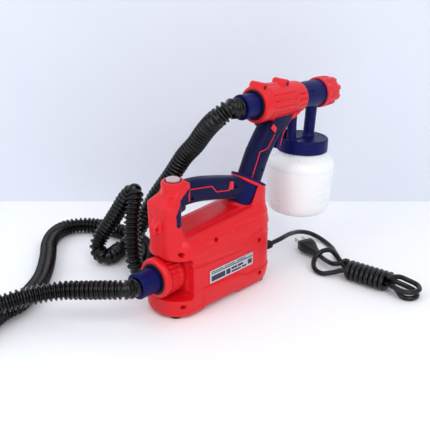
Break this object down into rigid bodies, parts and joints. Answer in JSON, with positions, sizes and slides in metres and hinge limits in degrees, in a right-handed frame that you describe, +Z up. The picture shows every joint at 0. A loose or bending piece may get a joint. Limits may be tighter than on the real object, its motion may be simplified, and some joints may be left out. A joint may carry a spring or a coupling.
{
  "type": "turbine paint sprayer",
  "caption": "Upright turbine paint sprayer: a carry-handled base with a hose outlet, a corrugated air hose, and a trigger spray gun with a jar parked in its holster.",
  "frame": {"origin": "on the floor, below the middle of the base, gun and cuffs, without the hose and mains lead", "axes": "+X from the hose outlet to the mains lead and along the gun's barrel, +Y away from the labelled side, +Z up"},
  "size_m": [0.6562, 0.5175, 0.2741],
  "materials": {
    "red_abs": "satin moulded ABS",
    "navy_rubber": "soft-touch over-mould",
    "navy_abs": "satin moulded ABS",
    "black_rubber": "smooth",
    "black_abs": "fine spark-eroded",
    "steel": "ground",
    "zinc_screw": "zinc plated",
    "brass": "stamped",
    "aluminium": "die cast",
    "clear_cap": "translucent pinkish cap",
    "natural_hdpe": "translucent natural polyethylene",
    "silver_label": "silver foil label, no lettering",
    "foam": "open-cell foam",
    "clear_pvc": "clear vinyl tube"
  },
  "bodies": {
    "air_cap": {"air_cap": "red_abs"},
    "cap_ring": {"air_cap_ring": "red_abs"},
    "base": {"air_hose": "black_rubber", "base_shell_back": "red_abs", "base_shell_front": "red_abs", "button_bezel": "black_abs", "button_spring": "steel", "handle_grip_back": "navy_rubber", "handle_grip_front": "navy_rubber", "holster_cup": "navy_abs", "intake_filter": "foam", "intake_grille": "red_abs", "label_plate": "silver_label", "lead_hank": "black_rubber", "lead_tail": "black_rubber", "motor_body": "steel", "motor_mount_front": "black_rubber", "motor_mount_rear": "black_rubber", "outlet_collar": "red_abs", "outlet_duct": "black_abs", "plug_body": "black_abs", "plug_pin_1": "brass", "plug_pin_2": "brass", "power_lead": "black_rubber", "rubber_foot_1": "black_rubber", "rubber_foot_2": "black_rubber", "rubber_foot_3": "black_rubber", "rubber_foot_4": "black_rubber", "shell_screw_1": "zinc_screw", "shell_screw_2": "zinc_screw", "shell_screw_3": "zinc_screw", "shell_screw_4": "zinc_screw", "shell_screw_5": "zinc_screw", "strain_relief": "black_rubber", "switch_body": "black_abs", "turbine_housing": "aluminium"},
    "base_cuff": {"base_hose_cuff": "navy_abs"},
    "gun": {"check_valve": "navy_abs", "fluid_nozzle": "black_abs", "grip_cover_left": "navy_rubber", "grip_cover_right": "navy_rubber", "gun_screw_1": "zinc_screw", "gun_screw_2": "zinc_screw", "gun_shell_left": "red_abs", "gun_shell_right": "red_abs", "lid_seal": "black_rubber", "needle_spring": "steel", "pickup_tube": "clear_pvc", "spray_head": "navy_abs", "trigger_pin": "steel", "vent_hose": "clear_pvc"},
    "needle": {"fluid_needle": "steel"},
    "gun_cuff": {"gun_hose_cuff": "navy_abs"},
    "rotor": {"impeller": "aluminium", "motor_shaft": "steel"},
    "jar": {"paint_jar": "natural_hdpe"},
    "button": {"power_button": "clear_cap"},
    "trigger": {"trigger": "navy_abs", "trigger_face": "red_abs"}
  },
  "joints": [
    {"name": "gun_lift", "type": "slide", "parent": "base", "child": "gun", "axis": [0.515, 0, 0.8572], "range_m": [0, 0.06]},
    {"name": "button_press", "type": "slide", "parent": "base", "child": "button", "axis": [0, 0, -1], "range_m": [0, 0.002], "stiffness_N_per_m": 300, "deforming": ["button_spring"]},
    {"name": "impeller_spin", "type": "hinge", "parent": "base", "child": "rotor", "pos_m": [-0.08187, 0, 0.055], "axis": [1, 0, 0], "continuous": true},
    {"name": "base_cuff_turn", "type": "hinge", "parent": "base", "child": "base_cuff", "pos_m": [-0.17187, 0, 0.055], "axis": [1, 0, 0], "range_deg": [0, 45]},
    {"name": "gun_cuff_turn", "type": "hinge", "parent": "gun", "child": "gun_cuff", "pos_m": [0.01413, 0, 0.246], "axis": [0.9986, 0, -0.0523], "range_deg": [0, 45]},
    {"name": "trigger_pull", "type": "hinge", "parent": "gun", "child": "trigger", "pos_m": [0.08577, 0, 0.21821], "axis": [0, 1, 0], "range_deg": [0, 10]},
    {"name": "needle_pull", "type": "slide", "parent": "gun", "child": "needle", "axis": [-0.9986, 0, 0.0523], "range_m": [0, 0.004], "stiffness_N_per_m": 1200, "springref_m": -0.0008},
    {"name": "cap_ring_turn", "type": "hinge", "parent": "gun", "child": "cap_ring", "pos_m": [0.16392, 0, 0.23815], "axis": [0.9986, 0, -0.0523], "range_deg": [0, 90]},
    {"name": "air_cap_turn", "type": "hinge", "parent": "gun", "child": "air_cap", "pos_m": [0.18389, 0, 0.2371], "axis": [0.9986, 0, -0.0523], "range_deg": [0, 90]},
    {"name": "jar_unscrew", "type": "hinge", "parent": "gun", "child": "jar", "pos_m": [0.12331, 0, 0.17018], "axis": [0.0523, 0, 0.9986], "range_deg": [0, 60]}
  ],
  "couplings": [
    {"joint": "trigger_pull", "follows": "needle_pull", "rad_per_m": 43.6}
  ]
}
